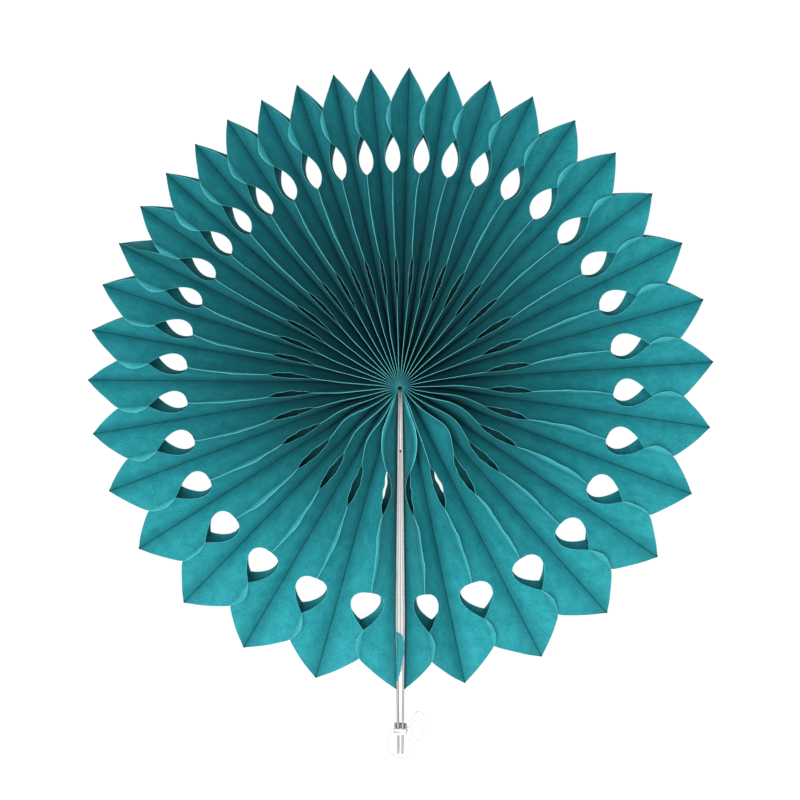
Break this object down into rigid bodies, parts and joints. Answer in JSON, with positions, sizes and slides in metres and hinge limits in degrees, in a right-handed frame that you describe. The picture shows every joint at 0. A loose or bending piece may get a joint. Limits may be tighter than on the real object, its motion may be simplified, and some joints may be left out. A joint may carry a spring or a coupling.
{
  "type": "paper fan rosette",
  "caption": "Full-circle pleated paper rosette with pointed petals, eye-shaped cut-outs and slits, two card seam boards and a small hanging string.",
  "frame": {"origin": "on the hub axis, in the plane that the back edges of the lobes rest on", "axes": "+Z along the hub axis out of the front face, -Y from the hub along the seam and its two boards"},
  "size_m": [0.3013, 0.337, 0.0505],
  "materials": {
    "paper": "matte teal craft paper",
    "card": "matte grey card",
    "foam_tape": "white double-sided tape",
    "string": "white cotton string"
  },
  "bodies": {
    "root": {"cell_01": "paper", "cell_02": "paper", "cell_03": "paper", "cell_04": "paper", "cell_05": "paper", "cell_06": "paper", "cell_07": "paper", "cell_08": "paper", "cell_09": "paper", "cell_10": "paper", "cell_11": "paper", "cell_12": "paper", "cell_13": "paper", "cell_14": "paper", "cell_15": "paper", "cell_16": "paper", "cell_17": "paper", "cell_18": "paper", "cell_19": "paper", "cell_20": "paper", "cell_21": "paper", "cell_22": "paper", "cell_23": "paper", "cell_24": "paper", "cell_25": "paper", "cell_26": "paper", "cell_27": "paper", "cell_28": "paper", "cell_29": "paper", "cell_30": "paper", "cell_31": "paper", "cell_32": "paper", "cell_33": "paper", "cell_34": "paper", "cell_35": "paper", "board_right": "card", "board_left": "card", "seam_tape": "foam_tape", "string_wrap": "string", "hanging_loop": "string", "string_tail": "string"}
  },
  "joints": []
}
